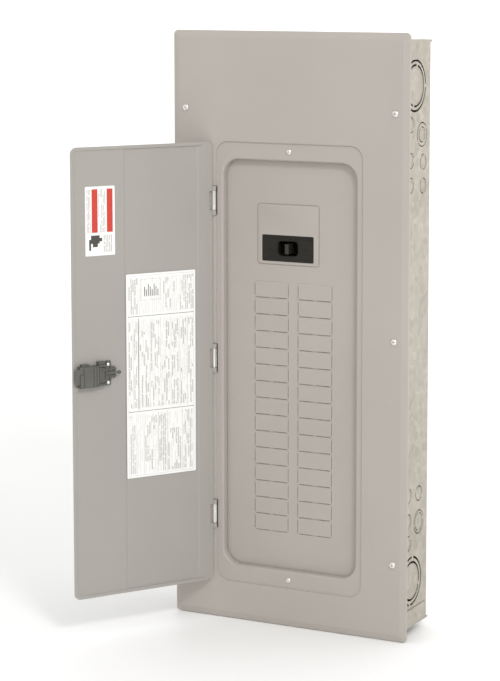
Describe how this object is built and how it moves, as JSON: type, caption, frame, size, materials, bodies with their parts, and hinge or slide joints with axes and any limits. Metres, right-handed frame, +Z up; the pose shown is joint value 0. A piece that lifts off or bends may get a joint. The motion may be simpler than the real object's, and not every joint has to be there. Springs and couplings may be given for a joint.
{
  "type": "load centre enclosure",
  "caption": "Wall-mounted electrical subpanel: galvanised box, bevelled grey cover with dished dead front, hinged door with slide latch, main breaker and busbar interior.",
  "frame": {"origin": "middle of the box's back face, where it lies on the wall", "axes": "+X to the right as seen from the front, +Y into the wall, +Z up; the cover and door face -Y"},
  "size_m": [0.4434, 0.31, 0.8934],
  "materials": {
    "painted": "satin warm grey powder coat",
    "galvanised": "mottled galvanised steel",
    "zinc": "bright zinc plate",
    "aluminium": "plain extruded aluminium",
    "black_plastic": "moulded phenolic, slightly glossy",
    "grey_plastic": "moulded nylon",
    "paper": null,
    "green_steel": "green plated screw"
  },
  "bodies": {
    "enclosure": {"box_wrap": "galvanised", "top_end_wall": "galvanised", "bottom_end_wall": "galvanised", "interior_pan": "galvanised", "breaker_rail_left": "galvanised", "breaker_rail_right": "galvanised", "cover_trim": "painted", "dead_front": "painted", "cover_screw_1": "zinc", "cover_screw_2": "zinc", "cover_screw_3": "zinc", "cover_screw_4": "zinc", "cover_screw_5": "zinc", "cover_screw_6": "zinc", "dead_front_screw_1": "zinc", "dead_front_screw_2": "zinc", "hinge_bracket_1": "zinc", "hinge_bracket_2": "zinc", "hinge_bracket_3": "zinc", "hinge_pin_1": "zinc", "hinge_pin_2": "zinc", "hinge_pin_3": "zinc", "pan_screw_1": "zinc", "pan_screw_2": "zinc", "pan_screw_3": "zinc", "pan_screw_4": "zinc", "bus_insulator": "black_plastic", "main_breaker_case": "black_plastic", "neutral_support_1": "black_plastic", "neutral_support_2": "black_plastic", "neutral_support_3": "black_plastic", "neutral_support_4": "black_plastic", "bus_bar_left": "aluminium", "bus_bar_right": "aluminium", "main_lug_left": "aluminium", "main_lug_right": "aluminium", "neutral_bar_left": "aluminium", "neutral_bar_right": "aluminium", "neutral_strap": "aluminium", "neutral_lug": "aluminium", "ground_bar": "aluminium", "main_lug_screw_left": "zinc", "main_lug_screw_right": "zinc", "neutral_lug_screw": "zinc", "ground_bar_screw_1": "zinc", "ground_bar_screw_2": "zinc", "bonding_screw": "green_steel"},
    "door": {"door_panel": "painted", "latch_housing": "grey_plastic", "latch_spring": "grey_plastic", "latch_screw_1": "zinc", "latch_screw_2": "zinc", "circuit_directory_label": "paper", "notice_label": "paper"},
    "latch_bolt": {"latch_slider": "grey_plastic"},
    "breaker_handle": {"main_breaker_handle": "black_plastic"}
  },
  "joints": [
    {"name": "door_hinge", "type": "hinge", "parent": "enclosure", "child": "door", "pos_m": [-0.1235, -0.1055, 0], "axis": [0, 0, -1], "range_deg": [-122, 43]},
    {"name": "latch_slide", "type": "slide", "parent": "door", "child": "latch_bolt", "axis": [0.5299, 0.848, 0], "range_m": [0, 0.006], "stiffness_N_per_m": 400, "springref_m": -0.003},
    {"name": "main_throw", "type": "hinge", "parent": "enclosure", "child": "breaker_handle", "pos_m": [-0.007, -0.068, 0.125], "axis": [0, 0, 1], "range_deg": [-20, 20]}
  ]
}
